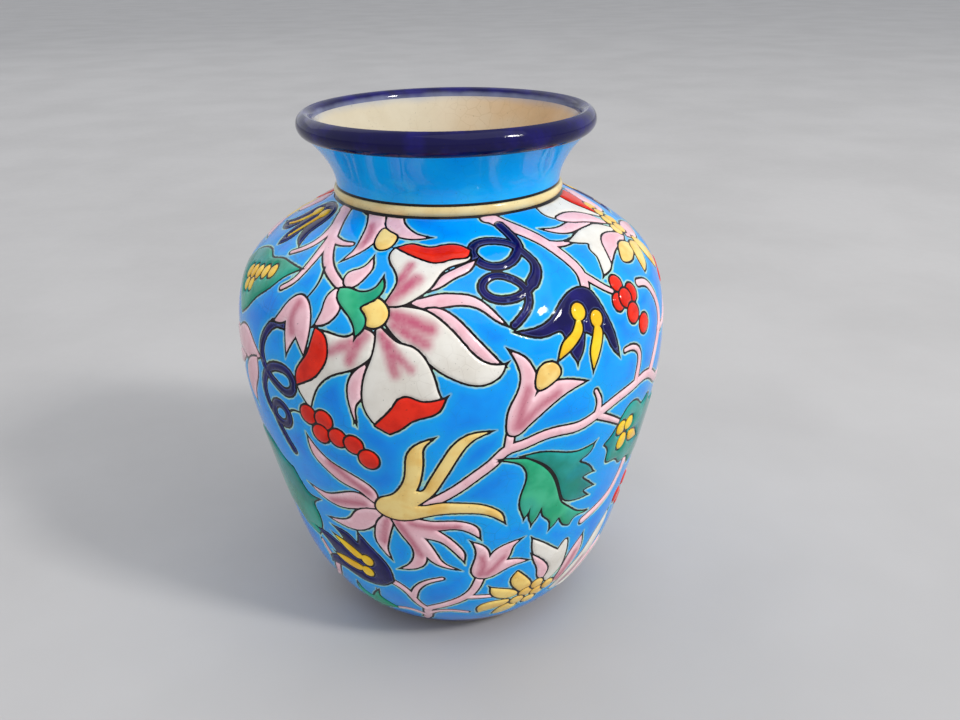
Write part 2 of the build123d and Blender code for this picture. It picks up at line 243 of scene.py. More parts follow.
# A line gives a colour, "@" and a tone if that isn't 0, a size if there is one, and places as
# azimuth,along, with "*" at a corner. Without a size they are an outline; 4x5 is an oval that wide
# and high round each of them, 3-2 a band along a centre line whose width goes from 3 to 2, and 4
# alone a soft stroke of rose. A line with "+" adds to the shape before it, and one with a space
# carries the line before it on.
DESIGN = shapes("""
# Stems
pink 4.6-2.6 -58,197 -50,186.5 -46,181 -38,170.5 -31,165
+2.8-1.2 -52,188 -51,182 -53,176 -58,171
+2.8-1.2 -47,181 -46,174 -46,168 -47.5,162 -50.5,158.5
+2.6-1 -46,182 -40,181 -36,181.5
pink 4.4-2.8 17,197 22,192.5 27,188.5 31,184.5 34,180 36,175 37.5,170 38,165 36.5,159.5
+2.4-1.4 38,165 40,162 43,158 45,156
+2.4-1 34,180 37,178.8 42,178 46,178.5
pink 3-3 -11,85 -5,90.5 0,95.5 5,101.5 9,106.5 12,110.5 15,111.5 20,113.5 25,114 30,113.5 36,115.5
 44,118.5 50,119.5 56,120 60,118.5 66,113.5 73,109
+2.4-2.4 12,110 12.5,116
+2.4-1 36,116 36.4,120 35,125
+2.2-1.4 37,114.5 42,110.5 46,107
+2.4-1.2 51,120 51.8,125 52,131 49,134.5 45.5,135
+3-2.2 60,119 64,128 67,135 67,141 65,147 62,152 57.5,154
+2.6-1.6 66,133 72,132 78,135 84,141
+2.4-1.2 73,109 79,113 84,120 86,128
pink 2.8-2.8 6,49 4,42 1,37.5 -3,34 -8,30.5 -12,27 -13,21 -15,14
+2.2-1.4 2,38 6,37.3 11,36.8
+2.4-2 -24,46 -20,43 -17,38 -15.5,33 -12.5,27
+2.2-1 -16,37 -14.5,42 -11,47 -5.5,50
+1.8-0.8 -13.6,17.5 -16,21 -19.2,23.6 -25.5,22
+1.8-0.8 -13,20.5 -10.2,24.4 -4,26.6 2.6,24.2
pink 2.8-2.8 56,90 56.5,83 55,76 52,71 46,67.5 40,65
pink 2.6-1.6 -44,47 -47,40 -52,31 -60,24 -68,20 -77,17
+2.4-1 -46,42 -48,47 -49.5,53
pink 2.6-1.6 72,66 77,60 80,52 79,44 75,36
black 1.1-0.7 -39.5,170 -38.3,165 -39,160 -40,157.5
black 1.1-0.7 -45,115 -42.5,117.8 -39,118
# Tendrils
cobalt 2.3-2.5 -44,147.5 -48,147 -51.5,143 -53.5,138 -53.5,132.5 -51,128 -47,125 -43.5,124 -41,127
 -42,131 -46,132.3 -50,130.5 -52.7,126.5 -54,121.5 -53.5,116.5 -51,112 -48,110 -45.3,111.5
 -44.6,115 -47,118 -50.6,115.5 -50.5,110 -49,105 -46.5,99
cobalt 2.6-1.7 21,191.5 23,186 23.3,181 21.5,178 19,175.5 15,173.8 11,174.5 8,177.5 7,181 9,184
 13,185 18,184.2 21.5,182.3 24,178 25.5,173 24,168 21,164.5 17,161.8 13,161.3 9.5,162.8 8,166
 9.5,169.2 13,170.3 16.5,168.6 19,165.5 19.6,161 17.8,156.5 14.5,152.8
+1-3.4 23,179.5 25.3,175 24.8,170 22,165.8
# Leaves
green@0.15 11,106.5 14,105 16.5,102 17.5,98 17.3,94 16.5,89 16.5,84 17.3,80.5 18,78.2* 19,80.5
 19.5,82.8 19.5,79 20.5,74.2* 21.8,77 23,81 23.6,77.5 25,75 26.5,72.5 27,69* 28.5,71 29.3,72.8
 31,69.5 34,66.8* 34.8,69 40,69.6* 36,72 32,76.5 29,80.5 27.5,85 26,90.5 24,96 21,101 17,105.3*
green@0.8 16.3,106.6* 20,106.8 26,104.5 31,102.5 36.5,103* 35.5,100 32.5,97.8 35,95 38.5,89.8*
 35,89 37,86 40,82.3* 36.5,81.8 38.5,78.5* 33.5,79.3 30,81.5 28.6,85 27,91 25,96.5 22,101.5
green@0.5 -48,166.8* -54.8,167.4 -60,167.2 -65.4,165.6 -69,166.8 -75,166 -81,162 -86,156* -82.5,151
 -75,146.8 -70,142* -65.2,145.8 -60.5,151.6 -55.5,157 -52.5,162
green@0.75 46,107.3* 50,112 54,111 58,107.5 62,109 66,104 71,104 73,98 78,95 78,89 82,83* 76,82
 72,78 66,80 61,79 58,84 52,85.5 49,89 44,91 43.5,96 41.3,100* 44,103
green@0.6 -51,88* -55,89.5 -60,94 -66,96 -72,94 -77,88 -83,84* -80,76 -82,69 -75,66 -70,60 -63,62
 -57,58 -50,56* -46.5,62 -45.5,69 -46,74 -43,78* -47,78.5 -49,82
green@0.2 -39.4,34* -38.4,28.5 -35.6,26.6 -33.6,29 -30,34.6* -30.8,28.6 -29,25.8 -25.8,21*
 -29.4,19.6 -33,16.4 -38,17 -41,21.5 -41.4,27.5
green@0.4 50,33* 55,30 61,31 66,26 71,20* 64,18 57,19 52,24
# Buds on the left
pink -42,158.5 -45,155.5 -47,151 -48.6,147.6* -46,148 -44.2,149.3* -43.8,146 -43,138.8* -41,143.5
 -40,145.3* -37.2,140.2* -36.3,146 -36.5,152 -38.3,156.5
rose 2.6 -41,156 -42,150 -41,146
pink -55,132* -59,136 -63,139 -68,138 -73,134.5 -78,134* -74,129.5 -69,126.5 -64,127.5 -60,129
pink -57,131* -57.5,124 -61,117 -63,111* -66,117 -65,124 -61,129
pink -66,127* -70,123 -75,119 -81,117.5* -76,124.5 -70.5,127
cobalt -58.5,175* -60.5,181 -60,187 -62,192.5 -68,194.5 -76,193.5 -80,188 -82,181 -88,175*
 -81,174.5 -76,178 -74,182 -72.5,174.5 -70,170.5* -67,175 -66.5,182 -63.5,178
yellow@0.9 4.4x5 -67,189.5
+2-1 -67,187 -68.5,180 -70,175
yellow@0.9 4.4x5 -74,188.5
+2-1 -74,186 -78,180 -82,177
pink -41,197* -36,191 -33.8,184 -33.3,180 -34.7,174.8* -30.5,179.5 -28.5,183 -27.3,188 -27.3,191
 -28.5,197*
pink -29.5,196.5* -27,191.8 -22,188.3 -17,187 -12,187 -8.6,187.6* -13,188.8 -17,191.2 -20,193.7
 -22,197*
yellow@0.12 -27.3,190.3 -24,189 -20.6,187.5 -20.4,184.5 -22,181.8 -24.3,181 -27,183 -28,186.5
rose 2.4 -33.5,191 -31,185 -31.5,181
# Lily
pink -30.2,166.2 -30.2,170 -27.7,171.8 -25.8,174 -25,176.6* -23.9,173 -24.8,169.3 -26.8,165.6
 -28.4,164.8
pink -31.3,163.4 -33.2,160.5 -33.3,156 -34.5,150.5* -32,151.5 -29.5,154.5 -28.8,157 -30,160.5
pink -20.3,140.8* -23,137.5 -24.5,133 -24.5,128 -23.3,120.6* -22.6,127.5 -21.4,129.5 -20.8,133
 -19.8,137
pink -11,161.8* -7,163 -3,164.3 1,164.2 5,163.2 8,160.5 10,157.5 12.2,153.6* 10,155.5 8,158 5,160.2
 2,160.8 -2,160.3 -7,159.8
pink -8,165* -5,166.6 -3,170.5 0,173 4,175.3 7.4,176.8* 5,173 1,170.6 -3,167.3
pink -8,158.7* -4,159.6 1,156 5,150 8.5,144.5 10.6,141* 6,143 2,148 -2,153
white -15.8,159.8* -10,159.6 -6,158.4 -3,155.8 0,152 3,147 6,142.8 9,141 11.4,140.8* 10.6,138.4
 8.8,136.3 6.2,135.2 3,135.8 0,137.6 -3,140 -6,143.4 -9,146.6 -13,150.3 -15.6,154*
white -17,160* -15.5,164.5 -14.7,168 -16,172.5 -18.5,176 -19.7,179 -19.2,181.5 -17,183* -14,183.6
 -10,182.8 -6,182.4 -3,183.2 0,183.6 3,183 6,181* 6.2,178.5 1.5,175.8 -2,173.8 -4,170.5 -6,166.5
 -9,163.3 -12.5,160.6
white -22,152* -18.6,150.5 -17.8,147 -19,143.5 -21,141 -24,138.5 -28,136.3 -31,133.6 -33.3,130
 -34.8,126 -35.9,121.8* -37.8,124.8 -39.3,128.6 -39,132.5 -37.2,136.5 -35,140.3 -34,144 -33.8,149*
 -30.5,148.8 -28,148.4 -25,148.6
white -18,154* -17.8,148.5 -18.6,143 -20,138 -20.9,132 -20.8,127 -19.6,123 -17.8,120.2 -15.3,118.6*
 -12.6,120.8 -10.6,123.6 -7.6,125 -4.6,127 -2.8,130* -3.6,132.6 -4.2,136 -5.4,141 -7,144.7
 -9.2,147.2 -12.5,148.4 -15,150.6
red -18,182.4* -13.5,184.2 -10,183.4 -6,183 -3,183.8 0,184.2 3.2,183.6 6.4,181.4* 5.2,178.9 1,178.4
 -2,177.4 -5,176.9 -8,177.8 -12,179.5
red -34.2,149.4* -31.6,147.8 -30.4,144 -30.6,140.2 -32,136.7 -34,133.5 -36.6,131.2 -39.6,129*
 -39.6,132.5 -38,136.7 -36,140.5 -35,144.4
red -18.4,120.2* -15.8,124 -13.8,127.4 -12.5,130 -10.5,131 -8,129.8 -5.6,129.6 -2.2,130.8*
 -3.8,126.6 -7.4,124.4 -10,122.8 -12.2,120.2 -15.2,117.8*
rose 4.4 -15.5,162 -12,166.5 -9.5,169.5
rose 3.2 -15,167 -13,172 -12,175
rose 4.6 -14.5,157 -9,155 -5,153
rose 3.8 -13.5,154 -9,150.5 -6,148.5
rose 3.4 -16.5,151 -14.5,145 -13,139
rose 2.8 -15,149 -12,144 -9.5,140.5
rose 4 -20.5,150 -22.5,146.5 -24,141.5
rose 3.4 -22,148 -25.5,146 -29,143.5
yellow@0.25 -22.6,158 -19.5,162 -17,160.5 -15.6,157.3 -17,153.6 -20,152.8 -22,154.5
green@0.1 -30.6,163.8* -28,164.3 -25,163.6 -22,164.2 -20,166.4 -19.2,169* -18.4,166 -19.3,162.8
 -21.5,160.5 -23.3,158.4 -21.7,156 -21.3,152.5 -23,149.6* -23.7,152.5 -25.5,155.5 -28.5,158.5
 -30.3,161.2
# Flowers on the right
cobalt 34.5,160.6 30,159.2 27,156.5 24,153 20,150.8 15.3,150.4* 18,149 22,148.2 26,148.6 27.3,144
 29.6,137.6* 31.5,142.5 32.5,146.5 35.3,144.5 38,144.6 40,140 42.8,135* 41.8,142 40,149.5 38.8,155
 37.2,159.3
yellow@0.95 5.2x5.8 31.8,153.2
+31.2,151.2 29.4,148 26.4,145 24.6,139.8* 27.8,142 30.6,145 31.9,148.2
yellow@0.95 4.8x5.6 36.7,149.4
+36.1,147.4 34.9,144.6 33.7,140 34.2,133.4* 36,138 37.3,142.5 37.3,146.4
pink 13,144.8* 16,142.3 18,138 18.8,134 18.5,130.5 17.9,128.3* 19.5,130.5 23,132.5 27,132
 31.4,129.9* 27,128.3 23,125.5 19,121.5 16,118 14,116 12.4,116.3 11.7,120 12.4,126 14.2,131
 15.1,136 14.6,140
rose 2.6 14,119 15,125 16.5,132
rose 2.4 15,119 19,125 24,128.6
yellow@0.15 19,131.3 18.8,135.5 20,138.6 22,139.4 24.2,137.7 24.6,135 23,132.9
white 43.5,178.2* 51,180.4 59,181 66,178.6 72,173* 66,174 60.8,174.8 56.5,172.8 54,169.4 52.2,165.7
 49.2,163 45.8,162.2* 47.4,166 48.6,170 48.6,172.5 50.3,174.5 47.8,176
pink 37.8,186* 45,184.9 52,185.4 58,183.9 63.5,180.8* 54,181.5 47,181.7 42,183.3
white 46,197* 45.4,192.4 49,189.2 60,189 70,184 76,179* 72,187 69.5,192 69,197*
pink 49,188.8 54,189.6 60,188.7 66,185.9 70,182 72,176.6* 66,180.3 60,183.2 53,185.8
red 84,197* 82.4,190.5 79.6,185 77,180* 73.8,187 71.2,192 71,197*
pink 52.2,165* 54.6,169.7 56.8,172.8 60.8,174.6 66.5,173.6 73,169.6* 68,168.2 62,168.4 57,167.4
pink 80,183* 84,190 89,195 93,191* 89,184 84,179
pink 74,168* 79,171 86,170.5 93,166* 86,164.5 79,164
yellow@0.15 57.6,163.2 60,166.4 63.5,168.6 68.5,167.4 69.8,165 66,162.6 61,161.6
yellow@0.15 65.2,155.4* 65.8,159 67.8,163 70.8,166 74.5,164.3 72,159.8 69,156.6
yellow@0.15 78.5,150.6* 75.2,156 74.8,162 77,166 80.2,161 80.6,155
yellow@0.2 4.4x5.2 80.6,184.6
yellow@0.2 4.6x5.4 79,180.2
yellow@0.2 4.4x5.2 75.6,176.8
yellow@0.2 4.6x5.4 79.4,175.6 72.8,172.4 76.6,171.6
red 5.6x5.6 48,157.8
red 5.6x6 45.9,151.8
red 5.8x6.4 52.6,152.6
red 6.4x6.4 49.2,152
red 6.8x6.8 50.8,146 55.3,140.3
yellow@0.9 5.4x5.6 47.5,103.6 51.4,103.4
yellow@0.9 5.6x7 49.6,96.5
yellow@0.9 52.8,98.6* 56,97.6 60.6,91.6* 56.5,92.6 53.5,95
yellow@0.6 3.8x5.4 -59,162 -62.6,160.4
yellow@0.6 3.8x5.6 -66.2,158.8 -69.8,157.6
yellow@0.6 3.8x5.4 -73.4,156
yellow@0.6 3.6x5 -67.4,153.4 -71,152
# Berries
red 6.8x6.8 -37,118.6 -32.3,118.2 -33.8,112.3 -28.9,112.4 -24.7,111
red 7x7.4 -21.2,106
red 6.8x6.8 62,62 66.5,67 66.4,57.4
red 6.4x6.4 82,146 86.5,149
# Star flower
pink -38.6,108.6* -34,101.8 -29,98.5 -25,96 -22,93 -21,89.5 -22,86.5 -24.5,89.3 -28,91.6 -31.5,93.4
 -35,97 -38,101.5
pink -43.5,84.5* -38,83.7 -34,85.5 -30,88 -26.5,89 -24,87.5 -22,85* -22.5,83.3 -26,82 -31,80.3
 -36,80 -40,81.7
pink -21,82.8* -25.5,82 -29,79 -31,75.5 -35,72.3 -39.4,70.9* -35,70 -30,70 -26,72.4 -23,76 -21,80
pink -20.2,80.4* -22.5,76.5 -23.5,72.5 -24,68 -23,63.5 -20.8,59.2* -21.2,63.5 -20.6,67 -19.8,70.5
 -18.6,75 -18.2,80
pink -18,80* -16.5,74.5 -14.5,69.5 -13,65 -13.2,61 -15,56.8 -17.6,54* -13,55.3 -10.5,57.8
 -9.5,62.2* -7,58.5 -4,56.5 -1,55.3* -5,59 -6.5,63 -8,67.5 -9.7,71.8* -5,70 -2,66 1.2,60* 1.3,63.5
 0,67 -3,72 -6,75.7* 1,76 4,73.5 5.6,71.6* 5,76 2,79 -2,80 -7,79.8 -12,81*
rose 2.6 -33,101 -27,95 -23,91
rose 2.6 -36,82 -30,84 -25,85
rose 2.2 -21.5,67 -20.5,73 -19.3,79
rose 2.4 -16.5,79 -13.5,71 -11,63
rose 2.4 -13,79 -7,77.5 0,77.8
yellow@0.1 -21.6,86 -20,89 -17,91 -14.5,94.5 -12.8,99 -12,105 -11.3,110 -9.3,113.6 -5.6,116.2*
 -7.6,113 -8,108 -8.5,102.5 -9.4,97.5 -10.4,94.2* -9,94 -7.3,97 -5.5,102 -3,108.5 -0.5,114 3,117.6
 7.4,118.3* 4,116 1,111 -1.5,104.5 -4,98 -6.5,92.5 -9.5,88.6 -10.6,87.2* -9,87.2 -5,88.6 0,88.6
 5,87.6 9,85 11.5,81.5 12.2,78* 9.5,81 6,83.3 1,84.2 -4,84 -9,82.2 -13,80.3 -17,79.9 -20,81.2
 -21.7,83.5
# Lower flowers
pink 4,68.8* 6,67.5 8,64.5 8.7,60* 10,63 13,65.6 17.4,67.1* 15.5,64.3 14.9,61 13.8,57.4* 17,57
 20.6,54.9* 16,54 12,51.4 8,49.3 5,50.3 3.7,53 4,57 4.8,61 4.9,65
rose 2.4 6,52 7,57 6.4,62
rose 2.2 8,52 11,56.5 13,60
white 21.8,65.4* 25.5,61.8 29,57.8 32,54.4* 34.4,58.6 36,50 35,42 31,37* 28,41 26.2,48 24.5,53
 22.6,58.5
pink 22.6,56.6* 25.3,53.5 28,49.5 29.6,45 28.6,40* 26.5,42.5 25.5,47.5 24,52
pink 34.4,31.5* 36.2,39 37.4,46 39,50.6 42.2,55.6* 43.4,49.5 42.6,44 40,38 37.2,33
white 36,26.5* 39,32.5 43,38.5 47,44 50,50 57,58* 55.4,50 52.4,42 48.4,35 43.5,28.6 39.5,25
pink 44.8,28* 48.4,32.4 51.6,36.4 55,40 59.4,43.6* 57.6,37.6 53.4,32 48.5,27.6
white 41.5,23* 46.4,25.6 52,29.4 57,34 63.6,40* 62,33 56,26.6 48,21.6
rose 2.2 36,35 38.6,42 40.6,49
rose 2 40,29.5 44,35 47.5,40.5
yellow@0.3 10,42.3* 14,40.3 18,37.8 20,34.5 17,33 13,34.5 10.3,38.5
yellow@0.3 18.3,49.6* 20.8,46 23.2,42 24.2,38 22,35.5 19,38.5 17,42.5 16.8,46.5
yellow@0.3 6.6,23* 6.8,29.6 10,31.6 14,31.7 17.6,30.5 16,27.3 12,25.6
yellow@0.3 13,17.6* 13.8,22.5 17,26.6 20.6,27.4 21.4,23 18.2,19
yellow@0.2 5.4x6 23.4,33.6 21,28.6
yellow@0.2 5x6 27.2,37.4
yellow@0.2 5.6x6 28.6,31.4
yellow@0.2 5.4x5.6 26.4,26
yellow@0.2 5x6 32.6,33.6
cobalt -22,45* -26,41 -31,39.8 -36,40.6 -42,43 -49,41.5* -46,47 -42.5,49 -44,54 -49,59.6* -42,59
 -38,57.5 -36.5,61.5 -39,66.4* -33.5,64.6 -31.6,62 -30,67.4* -27,62 -24,57 -22,51
yellow@0.95 5x5.4 -29.6,53.6
+-31,54.6 -33,57.6 -36,60 -40.4,61.6* -38,57.8 -35.6,55 -32,53.4
yellow@0.95 5x5.4 -30.8,46.8
+-32.4,48.4 -35.4,50 -39,50.8 -43.4,50* -40,47.2 -36.6,46 -33,46.6
cobalt -60,8* -66,15 -74,24* -82,22 -90,14* -84,8 -72,4
yellow@0.3 70,30* 74,35 80,36.5 84,33 79,28
yellow@0.3 86,40* 82.5,45 84,51 88.5,52 89,46
pink 88,30* 93,34 100,34.5* 98,28 92,25.5
pink 82,68* 86,74 93,77.5* 92,70 87,64.5
pink 80,72* 79,78 83,84* 85.5,78 83,73
yellow@0.2 5.4x5.6 84.5,31.5 88.5,37
""")


# ---- The decoration's fields of distance ----

COLOURS = ("yellow", "red", "cobalt", "green", "white", "pink")

grid_azimuth = np.linspace(-90, 90, int(HALF_TURN / ROUND_STEP) + 1)
grid_along = np.linspace(PRINT_LOW, PRINT_TOP, int((PRINT_TOP - PRINT_LOW) / ALONG_STEP) + 1)
along_step = grid_along[1] - grid_along[0]


def window_round(places, reach):
    """The part of the grid within reach of the places, or None."""
    low, high = places.min(axis=0), places.max(axis=0)
    wide = reach / (radians(1) * min(radius_at(low[1]), radius_at(high[1])))
    columns = np.searchsorted(grid_azimuth, [low[0] - wide, high[0] + wide])
    rows = np.searchsorted(grid_along, [low[1] - reach, high[1] + reach])
    if columns[0] == columns[1] or rows[0] == rows[1]:
        return None
    return slice(*rows), slice(*columns)


def inside(azimuth, along, places):
    """Which grid points lie inside a closed outline."""
    within = np.zeros(azimuth.shape, bool)
    for (a0, s0), (a1, s1) in zip(places, np.roll(places, -1, axis=0)):
        if s0 != s1:
            crossing = (s0 > along) != (s1 > along)
            within ^= crossing & (azimuth < (a1 - a0) * (along - s0) / (s1 - s0) + a0)
    return within


def distance(spots, places, halves, closed):
    """Distances from spots to a line on the belly, less the line's half width there."""
    corners = belly_points(places[:, 0], places[:, 1])
    starts, ends = corners[:-1], corners[1:]
    if closed:
        starts, ends = corners, np.roll(corners, -1, axis=0)
    nearest = np.full(spots.shape[:-1], np.inf)
    for start, end, first, last in zip(starts, ends, halves, np.roll(halves, -1)):
        along = end - start
        length = along @ along
        if length == 0:
            continue
        share = np.clip((spots - start) @ along / length, 0, 1)
        gap = np.linalg.norm(spots - start - share[..., None] * along, axis=-1)
        nearest = np.minimum(nearest, gap - first - (last - first) * share)
    return nearest


def flicks(places):
    """Short black strokes that run on from an outline's pointed tips."""
    scale = np.array([radians(1) * radius_at(places[:, 1].mean()), 1.0])
    flat = places * scale
    tips = []
    for index, tip in enumerate(flat):
        before = tip - flat[index - 2]
        after = tip - flat[(index + 2) % len(flat)]
        before /= max(np.linalg.norm(before), 1e-9)
        after /= max(np.linalg.norm(after), 1e-9)
        if before @ after > SHARP:
            onward = (before + after) / np.linalg.norm(before + after)
            run = np.array([tip, tip + onward * FLICK_LENGTH / 2, tip + onward * FLICK_LENGTH])
            tips.append(run / scale)
    return tips


def waver(azimuth, along):
    """The small unevenness of a hand's line, in mm."""
    across = azimuth * radians(1) * radius_at(along)
    slow = np.sin(1.9 * across + 1.1 * along) * np.sin(1.6 * along - 0.7 * across)
    quick = np.sin(4.3 * across - 2.9 * along) * np.sin(3.7 * along + 2.3 * across)
    return WAVER * (0.6 * slow + 0.4 * quick)


def lay_decoration():
    """Fields over the grid: each colour's and the ground's distance, negative inside, and tones."""
    shape = (len(grid_along), len(grid_azimuth))
    fields = {colour: np.full(shape, FAR) for colour in COLOURS}
    fields["ground"] = np.full(shape, -FAR)
    tone = np.zeros(shape)
    rose = np.zeros(shape)
    azimuth, along = np.meshgrid(grid_azimuth, grid_along)
    spots = belly_points(azimuth, along)
    uneven = waver(azimuth, along)
    for item in DESIGN:
        parts = item["parts"]
        curves = [drawn(part["points"], part["kind"] == "area") for part in parts]
        tips = [tip for part, curve in zip(parts, curves) if part["kind"] == "area"
                for tip in flicks(curve)]
        for turn in (-HALF_TURN, 0, HALF_TURN):
            window = window_round(np.concatenate(curves) + (turn, 0), REACH)
            if window is None:
                continue
            near = spots[window]
            gaps = []
            for part, curve in zip(parts, curves):
                places = curve + (turn, 0)
                halves = np.linspace(*part["widths"], len(places)) / 2
                gap = distance(near, places, halves, part["kind"] == "area")
                if part["kind"] == "area":
                    within = inside(azimuth[window], along[window], places)
                    gap = np.where(within, -gap, gap)
                gaps.append(gap)
            gap = np.minimum.reduce(gaps)
            if item["colour"] == "rose":
                soft = np.clip(1.25 - gap / parts[0]["reach"] * 1.5, 0, 1)
                rose[window] = np.maximum(rose[window], soft * soft * (3 - 2 * soft))
                continue
            black = item["colour"] == "black"
            cut = -gap if black else OUTLINE + uneven[window] - gap
            for tip in tips:
                cut = np.maximum(cut, -distance(near, tip + (turn, 0), FLICK_HALVES, False))
            for field in fields.values():
                field[window] = np.maximum(field[window], cut)
            if not black:
                own = fields[item["colour"]]
                own[window] = np.minimum(own[window], gap)
                tone[window] = np.where(gap < OUTLINE / 2, item["tone"], tone[window])
    return fields, tone, softened(rose)


def softened(grid):
    """The grid with each point the mean of its neighbours, twice over."""
    rows, columns = (int(SOFT_REACH / step) for step in (ALONG_STEP, ROUND_STEP))
    for count, axis in ((rows, 0), (columns, 1)) * 2:
        grid = np.mean([np.roll(grid, shift, axis) for shift in range(-count, count + 1)], axis=0)
    return grid


def eased(field, edge, face, width):
    """Height over the belly's profile: edge at the field's edge, face deep inside it."""
    share = np.clip(-field / width, 0, 1)
    swell = SWELL * np.clip(-field / SWELL_REACH, 0, 1)
    return edge + (face - edge) * (1 - (1 - share) ** 2) + swell


def sampled(grid, azimuth, along):
    """The grid's values at places, worked out between its points."""
    column = np.clip((azimuth + 90) / (grid_azimuth[1] + 90), 0, grid.shape[1] - 1.001)
    row = np.clip((along - PRINT_LOW) / along_step, 0, grid.shape[0] - 1.001)
    i, j = row.astype(int), column.astype(int)
    v, u = row - i, column - j
    below = grid[i, j] * (1 - u) + grid[i, j + 1] * u
    above = grid[i + 1, j] * (1 - u) + grid[i + 1, j + 1] * u
    return below * (1 - v) + above * v


# ---- From the fields to meshes ----


def contours(field, level):
    """The field's lines at a level, as arrays of places, closed ones with equal ends."""
    high = field > level
    rows, columns = field.shape
    spots = {}
    links = {}

    def crossing(first, second, ids, azimuth0, azimuth1, along0, along1):
        share = (level - first) / (second - first)
        places = np.stack(
            [azimuth0 + (azimuth1 - azimuth0) * share, along0 + (along1 - along0) * share], -1
        )
        spots.update(zip(ids.tolist(), places))

    i, j = np.nonzero(high[:, 1:] != high[:, :-1])
    flat = grid_along[i]
    crossing(field[i, j], field[i, j + 1], 2 * (i * columns + j),
             grid_azimuth[j], grid_azimuth[j + 1], flat, flat)
    i, j = np.nonzero(high[1:] != high[:-1])
    upright = grid_azimuth[j]
    crossing(field[i, j], field[i + 1, j], 2 * (i * columns + j) + 1,
             upright, upright, grid_along[i], grid_along[i + 1])

    code = high[:-1, :-1] + 2 * high[:-1, 1:] + 4 * high[1:, 1:] + 8 * high[1:, :-1]
    for i, j in zip(*np.nonzero((code > 0) & (code < 15))):
        corner = int(i * columns + j)
        south, north = 2 * corner, 2 * (corner + columns)
        west, east = 2 * corner + 1, 2 * (corner + 1) + 1
        kind = int(code[i, j])
        pairs = {
            1: [(south, west)], 2: [(south, east)], 3: [(west, east)], 4: [(north, east)],
            5: [(south, east), (north, west)], 6: [(south, north)], 7: [(north, west)],
            10: [(south, west), (north, east)],
        }[kind if kind < 8 or kind == 10 else 15 - kind]
        for one, two in pairs:
            links.setdefault(one, []).append(two)
            links.setdefault(two, []).append(one)

    lines = []
    left = set(links)
    ends = [spot for spot, others in links.items() if len(others) == 1]
    for start in ends + list(links):
        if start not in left:
            continue
        line = [start]
        left.discard(start)
        while True:
            onward = [spot for spot in links[line[-1]] if spot in left]
            if not onward:
                break
            line.append(onward[0])
            left.discard(onward[0])
        if len(line) > 2 and line[0] in links[line[-1]]:
            line.append(line[0])
        if len(line) > 2:
            lines.append(np.array([spots[spot] for spot in line]))
    return lines


def thinned(line, slack):
    """The line with only the places that keep it within slack mm."""
    scale = np.array([radians(1) * radius_at(line[:, 1].mean()), 1.0])
    flat = line * scale
    keep = np.zeros(len(line), bool)
    keep[[0, -1]] = True
    spans = [(0, len(line) - 1)]
    if np.allclose(line[0], line[-1]):
        far = int(np.argmax(np.linalg.norm(flat - flat[0], axis=1)))
        keep[far] = True
        spans = [(0, far), (far, len(line) - 1)]
    while spans:
        first, last = spans.pop()
        if last - first < 2:
            continue
        chord = flat[last] - flat[first]
        rest = flat[first + 1 : last] - flat[first]
        length = max(np.linalg.norm(chord), 1e-9)
        off = np.abs(rest[:, 0] * chord[1] - rest[:, 1] * chord[0]) / length
        worst = first + 1 + int(np.argmax(off))
        if off.max() > slack or last - first > 8:
            worst = worst if off.max() > slack else (first + last) // 2
            keep[worst] = True
            spans += [(first, worst), (worst, last)]
    return line[keep]


def hexagons(spacing):
    """Places in a regular triangular pattern over half the belly."""
    places = []
    rows = int((PRINT_TOP - PRINT_LOW) / (spacing * ROW_RISE))
    for row in range(1, rows):
        along = PRINT_LOW + (PRINT_TOP - PRINT_LOW) * row / rows
        count = int(HALF_TURN * radians(1) * radius_at(along) / spacing)
        azimuth = -90 + HALF_TURN * (np.arange(count) + 0.25 + 0.5 * (row % 2)) / count
        places.append(np.stack([azimuth, np.full(count, along)], -1))
    return np.concatenate(places)


